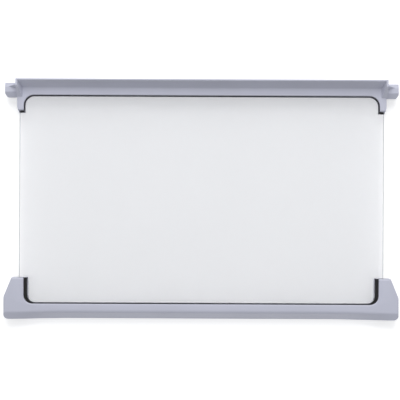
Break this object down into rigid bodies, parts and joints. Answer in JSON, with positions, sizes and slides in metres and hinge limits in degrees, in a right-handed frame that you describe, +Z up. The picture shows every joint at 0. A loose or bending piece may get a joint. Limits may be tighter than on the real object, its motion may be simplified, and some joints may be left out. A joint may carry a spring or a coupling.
{
  "type": "refrigerator shelf",
  "caption": "Refrigerator shelf: a tempered glass plate in moulded front and rear trims, with side ears at the front and pegs at the back that lie on the cabinet's ledges",
  "frame": {"origin": "middle of the footprint, on the surface that the shelf lies on", "axes": "X is the width, left to right seen from the front; Y runs from the front trim to the rear trim; Z is up"},
  "size_m": [0.5, 0.3032, 0.0363],
  "materials": {
    "glass": "clear tempered glass, edges ground",
    "front_plastic": "pale blue-grey moulded plastic, satin",
    "rear_plastic": "pale blue-grey moulded plastic, satin"
  },
  "bodies": {
    "root": {"glass_panel": "glass", "front_trim": "front_plastic", "rear_trim": "rear_plastic"}
  },
  "joints": []
}
